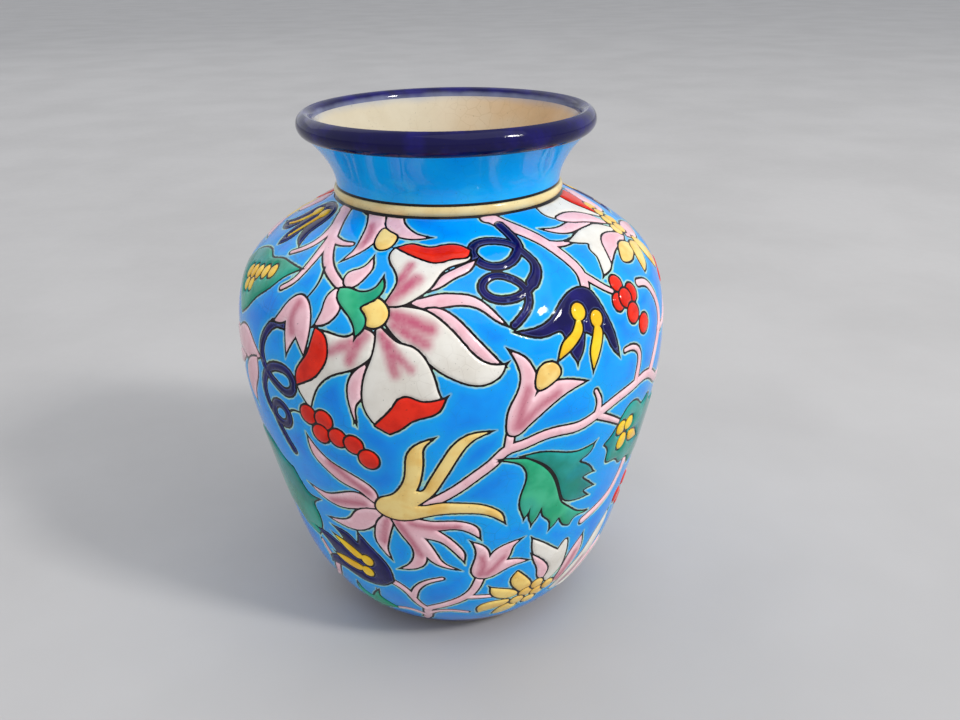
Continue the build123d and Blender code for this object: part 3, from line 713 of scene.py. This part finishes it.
def triangulated(fields):
    """Places, triangles and each triangle's field for half the belly."""
    scale = np.array([DEGREE_LENGTH, 1.0])
    places, edges = [], []

    def chain(line):
        first = len(places)
        places.extend(line.tolist())
        edges.extend((i, i + 1) for i in range(first, len(places) - 1))

    rims = {-90.0: set(), 90.0: set(), PRINT_LOW: set(), PRINT_TOP: set()}
    for colour, field in fields.items():
        for line in contours(field, 0.0):
            span = np.ptp(line, axis=0) * (radians(1) * radius_at(line[0, 1]), 1)
            if max(span) < SMALLEST_FIELD:
                continue
            chain(thinned(line, CONTOUR_SLACK))
            for azimuth, along in (line[0], line[-1]):
                for rim in (-90.0, 90.0):
                    if abs(azimuth - rim) < 1e-6:
                        rims[rim].add(float(along))
                for rim in (PRINT_LOW, PRINT_TOP):
                    if abs(along - rim) < 1e-6:
                        rims[rim].add(float(azimuth))
        for depth in INNER_ROWS:
            for line in contours(field, -depth):
                places.extend(thinned(line, CONTOUR_SLACK)[:-1].tolist())

    for rim in (-90.0, 90.0):
        steps = np.linspace(PRINT_LOW, PRINT_TOP, BORDER_STEPS)
        stops = sorted(rims[rim] | set(steps.tolist()))
        chain(np.array([(rim, stop) for stop in stops]))
    for rim in (PRINT_LOW, PRINT_TOP):
        stops = sorted(rims[rim] | set(np.linspace(-90, 90, RIM_STEPS + 1).tolist()))
        chain(np.array([(stop, rim) for stop in stops]))

    nearest_edge = np.min([np.abs(field) for field in fields.values()], axis=0)
    light = np.minimum(fields["white"], fields["pink"])
    for spacing, where in ((WIDE_SPACING, light >= 0), (FINE_SPACING, light < 0)):
        spots = hexagons(spacing)
        clear = sampled(nearest_edge, *spots.T) > INNER_ROWS[-1] + spacing / 2.5
        there = sampled(where.astype(float), *spots.T) > 0.5
        places.extend(spots[clear & there].tolist())

    flat = [Vector(place) for place in (np.array(places) * scale).tolist()]
    spots, out_edges, faces, _, came_from, _ = delaunay_2d_cdt(flat, edges, [], 0, 1e-5)
    fixed = {tuple(sorted(edge)) for edge, origin in zip(out_edges, came_from) if origin}
    spots = np.array([tuple(spot) for spot in spots]) / scale
    faces = np.array([face for face in faces])
    return spots, faces, labelled(spots, faces, fixed, fields)


def labelled(spots, faces, fixed, fields):
    """The field that each triangle belongs to, one for each region between fixed edges."""
    names = list(fields)
    middles = spots[faces].mean(axis=1)
    depths = np.stack([sampled(fields[name], *middles.T) for name in names], -1)
    guess = np.where(depths.min(axis=1) < 0, depths.argmin(axis=1), len(names))
    one, two = spots[faces[:, 1]] - spots[faces[:, 0]], spots[faces[:, 2]] - spots[faces[:, 0]]
    sizes = np.abs(one[:, 0] * two[:, 1] - one[:, 1] * two[:, 0])

    across = {}
    for index, face in enumerate(faces.tolist()):
        for first, last in zip(face, face[1:] + face[:1]):
            key = (min(first, last), max(first, last))
            if key not in fixed:
                across.setdefault(key, []).append(index)
    parents = list(range(len(faces)))

    def root(index):
        while parents[index] != index:
            parents[index] = parents[parents[index]]
            index = parents[index]
        return index

    for pair in across.values():
        if len(pair) == 2:
            parents[root(pair[0])] = root(pair[1])
    roots = np.array([root(index) for index in range(len(faces))])
    votes = np.zeros((len(faces), len(names) + 1))
    np.add.at(votes, (roots, guess), sizes)
    winner = votes[roots].argmax(axis=1)
    return np.array(names + ["black"])[winner]


def solid_mesh(name, spots, faces, height, channels):
    """A closed coat over some triangles, on both halves of the belly, with smooth shading."""
    used, faces = np.unique(faces, return_inverse=True)
    faces = faces.reshape(-1, 3)
    spots = spots[used]
    halves = [spots, spots + (HALF_TURN, 0)]
    both = np.concatenate(halves)
    keys = np.round(np.stack([both[:, 0] % 360, both[:, 1]], -1), 4)
    keys[:, 0] %= 360
    _, first, same = np.unique(keys, axis=0, return_index=True, return_inverse=True)
    same = same.reshape(-1)
    faces = same[np.concatenate([faces, faces + len(spots)])]
    places = both[first]
    half = np.where(places[:, 0] > 90, places[:, 0] - HALF_TURN, places[:, 0])
    along = places[:, 1]

    lift = sampled(height, half, along)
    steep_along, steep_round = np.gradient(height, along_step, grid_azimuth[1] - grid_azimuth[0])
    tilt_round = sampled(steep_round, half, along) / (radians(1) * radius_at(along))
    tilt_along = sampled(steep_along, half, along)
    round_it, up, out = axes_at(places[:, 0], along)
    normal = out - tilt_round[:, None] * round_it - tilt_along[:, None] * up
    normal /= np.linalg.norm(normal, axis=1)[:, None]
    top = belly_points(places[:, 0], along, lift)
    back = belly_points(places[:, 0], along, np.full(len(places), COAT_BACK))

    corner = top[faces]
    facing = np.cross(corner[:, 1] - corner[:, 0], corner[:, 2] - corner[:, 0])
    wrong = (facing * out[faces[:, 0]]).sum(axis=1) < 0
    faces[wrong] = faces[wrong][:, ::-1]

    sides = np.concatenate([faces[:, [0, 1]], faces[:, [1, 2]], faces[:, [2, 0]]])
    code = sides.min(axis=1).astype(np.int64) * len(places) + sides.max(axis=1)
    _, index, counts = np.unique(code, return_index=True, return_counts=True)
    rim = sides[index[counts == 1]]
    count = len(places)
    wall = np.concatenate([
        np.stack([rim[:, 1], rim[:, 0], rim[:, 0] + count], -1),
        np.stack([rim[:, 1], rim[:, 0] + count, rim[:, 1] + count], -1),
    ])
    every = np.concatenate([faces, faces[:, ::-1] + count, wall])
    points = np.concatenate([top, back]) / METRE

    mesh = bpy.data.meshes.new(name)
    mesh.vertices.add(len(points))
    mesh.vertices.foreach_set("co", points.ravel())
    mesh.loops.add(every.size)
    mesh.loops.foreach_set("vertex_index", every.ravel().astype(np.int32))
    mesh.polygons.add(len(every))
    mesh.polygons.foreach_set("loop_start", np.arange(0, every.size, 3, dtype=np.int32))
    mesh.polygons.foreach_set("use_smooth", np.ones(len(every), bool))
    mesh.update(calc_edges=True)
    for channel, grid in channels.items():
        values = sampled(grid, half, along)
        attribute = mesh.attributes.new(channel, "FLOAT", "POINT")
        attribute.data.foreach_set("value", np.concatenate([values, values]).astype(np.float32))

    wall_corner = points[wall]
    wall_out = np.cross(
        wall_corner[:, 1] - wall_corner[:, 0], wall_corner[:, 2] - wall_corner[:, 0]
    )
    wall_out /= np.maximum(np.linalg.norm(wall_out, axis=1), 1e-12)[:, None]
    loops = np.concatenate([
        normal[faces].reshape(-1, 3),
        -out[faces[:, ::-1]].reshape(-1, 3),
        np.repeat(wall_out, 3, axis=0),
    ])
    mesh.normals_split_custom_set(loops.tolist())
    piece = bpy.data.objects.new(name, mesh)
    bpy.context.collection.objects.link(piece)
    return piece


# ---- Materials ----


SHEEN = 0.25


def shade(code):
    """A colour written as #rrggbb, as the linear values that a shader takes."""
    parts = [int(code[i : i + 2], 16) / 255 for i in (1, 3, 5)]
    linear = [((v + 0.055) / 1.055) ** 2.4 if v > 0.04045 else v / 12.92 for v in parts]
    return (*linear, 1.0)


class Look:
    """A procedural material on one Principled shader."""

    def __init__(self, name):
        self.material = bpy.data.materials.new(name)
        self.material.use_nodes = True
        self.tree = self.material.node_tree
        self.shader = self.tree.nodes["Principled BSDF"]
        self.place = self.tree.nodes.new("ShaderNodeTexCoord").outputs["Object"]

    def add(self, kind, inputs, **settings):
        node = self.tree.nodes.new("ShaderNode" + kind)
        for key, value in settings.items():
            setattr(node, key, value)
        for key, value in inputs.items():
            if isinstance(value, bpy.types.NodeSocket):
                self.tree.links.new(value, node.inputs[key])
            else:
                node.inputs[key].default_value = value
        return node

    def stretched(self, scale):
        return self.add("Mapping", {"Vector": self.place, "Scale": scale}).outputs[0]

    def noise(self, scale, detail=3.0, stretch=(1, 1, 1), rough=0.55):
        spot = self.stretched(stretch)
        inputs = {"Vector": spot, "Scale": scale, "Detail": detail, "Roughness": rough}
        return self.add("TexNoise", inputs).outputs["Fac"]

    def cracks(self, scale, width):
        """1 on the lines of a net of cells, 0 inside them."""
        bent = self.add("TexNoise", {"Vector": self.place, "Scale": scale * 0.6, "Detail": 2.0})
        size = (0.5 / scale,) * 3
        shift = self.add("VectorMath", {0: bent.outputs["Color"], 1: size}, operation="MULTIPLY")
        spot = self.add("VectorMath", {0: self.place, 1: shift.outputs[0]}).outputs[0]
        net = self.add("TexVoronoi", {"Vector": spot, "Scale": scale}, feature="DISTANCE_TO_EDGE")
        return self.fit(net.outputs["Distance"], 0.0, width, 1.0, 0.0)

    def value(self, name):
        return self.add("Attribute", {}, attribute_name=name).outputs["Fac"]

    def fit(self, value, low, high, first=0.0, last=1.0):
        inputs = {0: value, 1: low, 2: high, 3: first, 4: last}
        return self.add("MapRange", inputs, interpolation_type="SMOOTHSTEP").outputs[0]

    def sum(self, first, second):
        return self.add("Math", {0: first, 1: second}, operation="ADD").outputs[0]

    def product(self, first, second):
        return self.add("Math", {0: first, 1: second}, operation="MULTIPLY").outputs[0]

    def mix(self, share, first, second):
        node = self.add("Mix", {}, data_type="RGBA")
        for index, value in ((0, share), (6, first), (7, second)):
            value = shade(value) if isinstance(value, str) else value
            if isinstance(value, bpy.types.NodeSocket):
                self.tree.links.new(value, node.inputs[index])
            else:
                node.inputs[index].default_value = value
        return node.outputs[2]

    def patches(self, scale, first, second, low=0.35, high=0.7, detail=3.0):
        """The first colour, with soft patches of the second."""
        return self.mix(self.fit(self.noise(scale, detail), low, high), first, second)

    def finish(self, colour, low, high, bumps):
        """Joins the colour, a roughness between low and high, and bumps of (height, mm)."""
        links = self.tree.links
        links.new(colour, self.shader.inputs["Base Color"])
        self.shader.inputs["Specular IOR Level"].default_value = SHEEN
        patches = self.noise(120.0, 2.0)
        links.new(self.fit(patches, 0.3, 0.7, low, high), self.shader.inputs["Roughness"])
        normal = None
        for height, depth in bumps:
            inputs = {"Height": height, "Distance": depth / METRE, "Strength": 1.0}
            if normal is not None:
                inputs["Normal"] = normal
            normal = self.add("Bump", inputs).outputs[0]
        if normal is not None:
            links.new(normal, self.shader.inputs["Normal"])
        return self.material


def enamel(name, colours, pits=0.5, crackle=0.25, crack_colour="#203048"):
    """A glossy glass-like enamel. colours(look) gives its colour before crackle and pits."""
    look = Look(name)
    colour = colours(look)
    net = look.product(look.cracks(210.0, 0.045), look.fit(look.noise(25.0), 0.4, 0.7))
    colour = look.mix(look.product(net, crackle), colour, crack_colour)
    specks = look.fit(look.noise(1500.0, 1.0), 0.735, 0.78)
    colour = look.mix(look.product(specks, pits), colour, "#2a2420")
    waves = look.noise(85.0, 2.0)
    fine = look.noise(420.0, 2.0)
    return look.finish(colour, 0.04, 0.12, [(waves, 0.12), (fine, 0.015), (net, -0.02)])


def ground_colours(look):
    """Deep blue mid-field, cyan towards the outlines, and a thin pale halo beside them."""
    edge = look.value("edge")
    colour = look.patches(42.0, "#0084ec", "#009cf8", 0.35, 0.65)
    near = look.fit(edge, 0.4, 4.2, 1.0, 0.0)
    near = look.product(near, look.fit(look.noise(60.0), 0.25, 0.75, 0.55, 1.0))
    colour = look.mix(near, colour, "#04a4ee")
    halo = look.fit(edge, 0.05, 0.75, 1.0, 0.0)
    halo = look.product(halo, look.fit(look.noise(140.0), 0.3, 0.65, 0.25, 0.95))
    return look.mix(halo, colour, "#bde4bc")


def neck_colours_painted_light(look):
    """The ground's turquoise painted lighter, as painted light against the rim's shade on the neck,
    without outlines in it.
    """
    colour = look.patches(42.0, "#06a4fc", "#10b2ff", 0.35, 0.65)
    thin = look.fit(look.noise(70.0, 4.0, (1, 1, 2.5)), 0.5, 0.75, 0.0, 0.55)
    return look.mix(thin, colour, "#34bcf4")


def pink_colours(look):
    """Pink, deeper in brush strokes and patches."""
    colour = look.patches(130.0, "#f9d2d9", "#f0bec7")
    middle = look.fit(look.value("edge"), 0.2, 1.6, 0.0, 0.28)
    colour = look.mix(middle, colour, "#d07e90")
    return look.mix(look.product(look.value("rose"), 0.8), colour, "#b4506a")


def white_colours(look):
    """Warm white with rose brush strokes."""
    colour = look.patches(90.0, "#e9e5dc", "#dcd6cb")
    streaks = look.fit(look.noise(260.0, 3.0), 0.3, 0.65, 0.8, 1.0)
    rose = look.product(look.value("rose"), streaks)
    return look.mix(rose, colour, "#bf5a76")


def red_colours(look):
    return look.patches(150.0, "#ec2c14", "#d01e0c")


def yellow_colours(look):
    """Cream where the tone is low and strong yellow where it is high."""
    cream = look.patches(120.0, "#f7dc94", "#ecc06a")
    strong = look.patches(120.0, "#fbd320", "#f3b80e")
    return look.mix(look.value("tone"), cream, strong)


def green_colours(look):
    """Leaf green where the tone is low and teal where it is high."""
    leaf = look.patches(70.0, "#1fa872", "#48c08a", 0.35, 0.65)
    teal = look.patches(70.0, "#0a7c78", "#12949c", 0.35, 0.65)
    veins = look.fit(look.noise(45.0, 2.0), 0.45, 0.6, 0.0, 0.3)
    return look.mix(look.sum(look.value("tone"), veins), leaf, teal)


def cobalt_colours(look):
    """Near black, with a thin grey-blue rim where the enamel is thinnest."""
    colour = look.patches(110.0, "#0c0848", "#1a1468", 0.4, 0.75)
    thin = look.fit(look.value("edge"), 0.02, 0.35, 0.5, 0.0)
    return look.mix(thin, colour, "#5a6bb0")


def rim_colours(look):
    """Cobalt, thin and pale where it ends inside the mouth."""
    across = look.stretched((1, 1, 0))
    radius = look.add("VectorMath", {0: across}, operation="LENGTH").outputs["Value"]
    uneven = look.product(look.noise(60.0, 3.0), 0.0016)
    thin = look.fit(look.sum(radius, uneven), 0.0478, 0.0493, 1.0, 0.0)
    colour = look.patches(110.0, "#090540", "#150e62", 0.4, 0.75)
    return look.mix(thin, colour, "#8d94b2")


def inside_colours(look):
    """Ivory, amber on one side, with the rim's cobalt bleeding into its edge."""
    parts = look.add("SeparateXYZ", {0: look.place})
    colour = look.patches(30.0, "#d3cab4", "#c8bca2", 0.3, 0.7, 4.0)
    amber = look.fit(parts.outputs["X"], -0.02, 0.042, 0.0, 0.85)
    amber = look.product(amber, look.fit(look.noise(35.0, 3.0), 0.25, 0.7, 0.5, 1.0))
    colour = look.mix(amber, colour, "#cf9c5e")
    uneven = look.product(look.noise(55.0, 3.0), 0.004)
    bleed = look.fit(look.sum(parts.outputs["Z"], uneven), 0.1945, 0.1995, 0.0, 0.7)
    return look.mix(bleed, colour, "#93a0b8")


def cream_colours(look):
    return look.patches(90.0, "#f3dda2", "#e8c986")


def print_colours(look):
    return look.patches(200.0, "#0a0a0e", "#241a1c", 0.35, 0.75)


def clay_colours(look):
    colour = look.patches(160.0, "#d9c7a9", "#b89d79", 0.3, 0.7, 4.0)
    return look.mix(look.fit(look.noise(900.0, 2.0), 0.62, 0.7, 0.0, 0.5), colour, "#7d6648")


def biscuit():
    """Unglazed fired clay, as it shows under the foot."""
    look = Look("biscuit")
    grain = look.noise(1400.0, 3.0)
    return look.finish(clay_colours(look), 0.75, 0.9, [(grain, 0.05)])


turquoise = enamel("turquoise_enamel", ground_colours)
LOOKS = {
    "yellow": enamel("yellow_enamel", yellow_colours, crackle=0.15, crack_colour="#a06a20"),
    "red": enamel("red_enamel", red_colours, crackle=0.1, crack_colour="#701008"),
    "cobalt": enamel("cobalt_enamel", cobalt_colours, crackle=0.0),
    "green": enamel("green_enamel", green_colours, crackle=0.2, crack_colour="#0c4a40"),
    "white": enamel("white_enamel", white_colours, crackle=0.15, crack_colour="#8a7468"),
    "pink": enamel("pink_enamel", pink_colours, crackle=0.15, crack_colour="#803c50"),
}
printed = enamel("black_print", print_colours, crackle=0.0)


# ---- The belly's coat ----


def wear(piece, material):
    """Gives a piece its one material."""
    piece.data.materials.clear()
    piece.data.materials.append(material)


fields, tone, rose = lay_decoration()
spots, faces, labels = triangulated(fields)

heights = {
    colour: eased(fields[colour], ENAMEL_EDGE, ENAMEL_FACE, EDGE_ROUND) for colour in COLOURS
}
heights["ground"] = eased(fields["ground"], GROUND_EDGE, GROUND_FACE, EDGE_ROUND)
heights["black"] = np.full(tone.shape, PRINT_FACE)

for colour in (*COLOURS, "ground"):
    channels = {"edge": -fields[colour], "tone": tone, "rose": rose}
    piece = solid_mesh(
        f"{colour}_fields", spots, faces[labels == colour], heights[colour], channels
    )
    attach(piece, "root")
    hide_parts(f"{colour}_enamel")
    if colour == "ground":
        wear(piece, turquoise)
    else:
        wear(piece, LOOKS[colour])

outlines = solid_mesh("printed_outlines", spots, faces[labels == "black"], heights["black"], {})
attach(outlines, "root")
wear(outlines, printed)


# ---- The CAD pieces that show as they are ----

wear(nodes["clay_body"], biscuit())
wear(nodes["interior_glaze"],
     enamel("ivory_glaze", inside_colours, crackle=0.2, crack_colour="#8a6a40"))
wear(nodes["rim_enamel"], enamel("rim_cobalt", rim_colours, crackle=0.0))
wear(nodes["foot_band"], LOOKS["cobalt"])
# The neck's turquoise is a lighter copy of the ground's: painted light against the shade under the
# rim.
wear(nodes["neck_enamel"], enamel("neck_turquoise_painted_light", neck_colours_painted_light))
wear(nodes["neck_band"], enamel("cream_enamel", cream_colours, crackle=0.2))
wear(nodes["upper_line"], printed)
wear(nodes["lower_line"], printed)


# ---- Floor, light and camera ----

FLOOR_HALF = 12.0


def pale_floor():
    mesh = bpy.data.meshes.new("floor")
    corners = [(-1, -1), (1, -1), (1, 1), (-1, 1)]
    points = [(x * FLOOR_HALF, y * FLOOR_HALF, 0.0) for x, y in corners]
    mesh.from_pydata(points, [], [(0, 1, 2, 3)])
    floor = bpy.data.objects.new("floor", mesh)
    bpy.context.collection.objects.link(floor)
    look = Look("floor")
    colour = look.patches(6.0, "#bdbbba", "#b6b4b3", 0.3, 0.7)
    floor.data.materials.append(look.finish(colour, 0.7, 0.85, []))


def panel(name, azimuth, elevation, away, size, power, tint):
    """A soft rectangular light that faces the vase's middle. Lengths in metres."""
    data = bpy.data.lights.new(name, "AREA")
    data.shape = "RECTANGLE"
    data.size, data.size_y = size
    data.energy = power
    data.color = tint
    light = bpy.data.objects.new(name, data)
    turn, rise = radians(azimuth), radians(elevation)
    out = Vector((sin(turn) * cos(rise), -cos(turn) * cos(rise), sin(rise)))
    light.location = Vector((0, 0, (cad_low.z + cad_high.z) / 2)) + out * away
    light.rotation_mode = "QUATERNION"
    light.rotation_quaternion = (-out).to_track_quat("-Z", "Y")
    bpy.context.collection.objects.link(light)


def soft_sky():
    world = bpy.data.worlds.new("sky")
    world.use_nodes = True
    shader = world.node_tree.nodes["Background"]
    shader.inputs["Color"].default_value = (0.92, 0.95, 1.0, 1.0)
    shader.inputs["Strength"].default_value = 0.74
    bpy.context.scene.world = world
    bpy.context.scene.view_settings.view_transform = "Standard"


pale_floor()
soft_sky()
panel("window", 56, 38, 2.6, (0.32, 0.44), 35.0, (1.0, 0.985, 0.955))
panel("overhead", 40, 66, 2.4, (2.2, 2.2), 11.0, (1.0, 1.0, 1.0))
panel("behind", 215, 40, 2.6, (2.0, 2.0), 6.0, (1.0, 1.0, 1.0))

# The camera stands in front and looks down into the mouth, leaning and turned a little.
CAMERA_PLACE = (0.0, -0.3314, 0.2478)
CAMERA_DOWN = 0.423
CAMERA_TURN = 0.032
CAMERA_LEAN = -0.016
CAMERA_LENS = 33.75

ahead = Vector((
    sin(CAMERA_TURN) * cos(CAMERA_DOWN), cos(CAMERA_TURN) * cos(CAMERA_DOWN), -sin(CAMERA_DOWN)
))
level = Vector((cos(CAMERA_TURN), -sin(CAMERA_TURN), 0.0))
upright = level.cross(ahead)
right = level * cos(CAMERA_LEAN) + upright * sin(CAMERA_LEAN)
above = -level * sin(CAMERA_LEAN) + upright * cos(CAMERA_LEAN)

lens = bpy.data.cameras.new("camera")
lens.lens = CAMERA_LENS
lens.sensor_width = 36.0
camera = bpy.data.objects.new("camera", lens)
camera.matrix_world = Matrix.Translation(CAMERA_PLACE) @ Matrix(
    (right, above, -ahead)
).transposed().to_4x4()
bpy.context.collection.objects.link(camera)
bpy.context.scene.camera = camera
